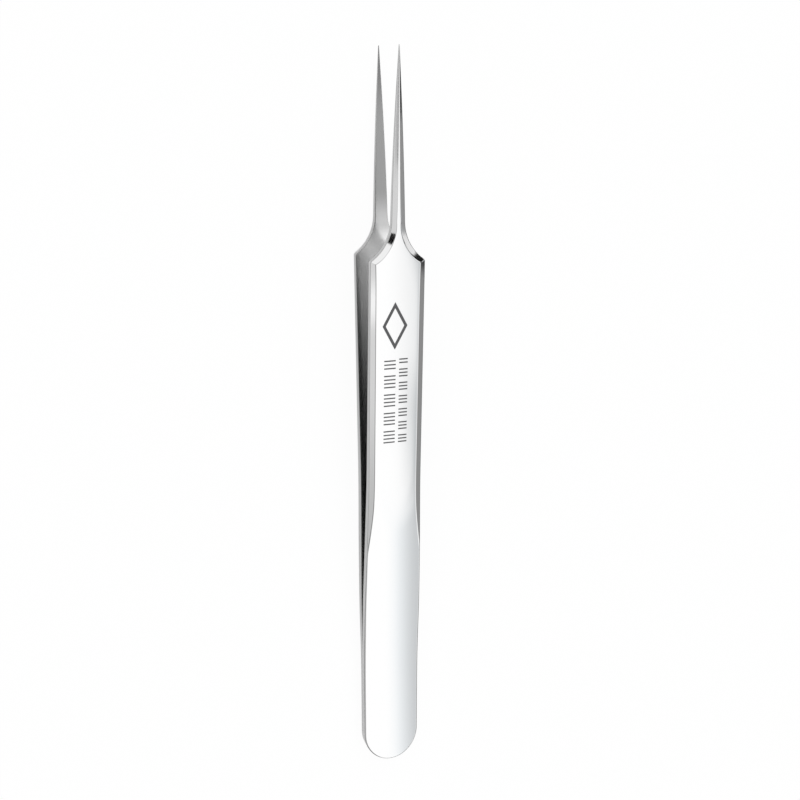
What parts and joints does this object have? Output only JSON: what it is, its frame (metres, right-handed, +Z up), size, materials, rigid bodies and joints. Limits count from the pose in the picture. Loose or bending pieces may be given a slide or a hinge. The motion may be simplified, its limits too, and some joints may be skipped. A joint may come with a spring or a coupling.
{
  "type": "pointed tweezers",
  "caption": "Straight fine-pointed precision tweezers in polished stainless steel, their arms welded at the heel, for picking up small parts.",
  "frame": {"origin": "middle of the surface that the tweezers lie on, below the middle of their overall length and width", "axes": "+X across the blades, +Y from the heel to the points, +Z up, away from the surface that they lie on"},
  "size_m": [0.0088, 0.1102, 0.0101],
  "materials": {
    "steel": "polished stainless steel"
  },
  "bodies": {
    "root": {"upper_arm": "steel", "lower_arm": "steel"}
  },
  "joints": []
}
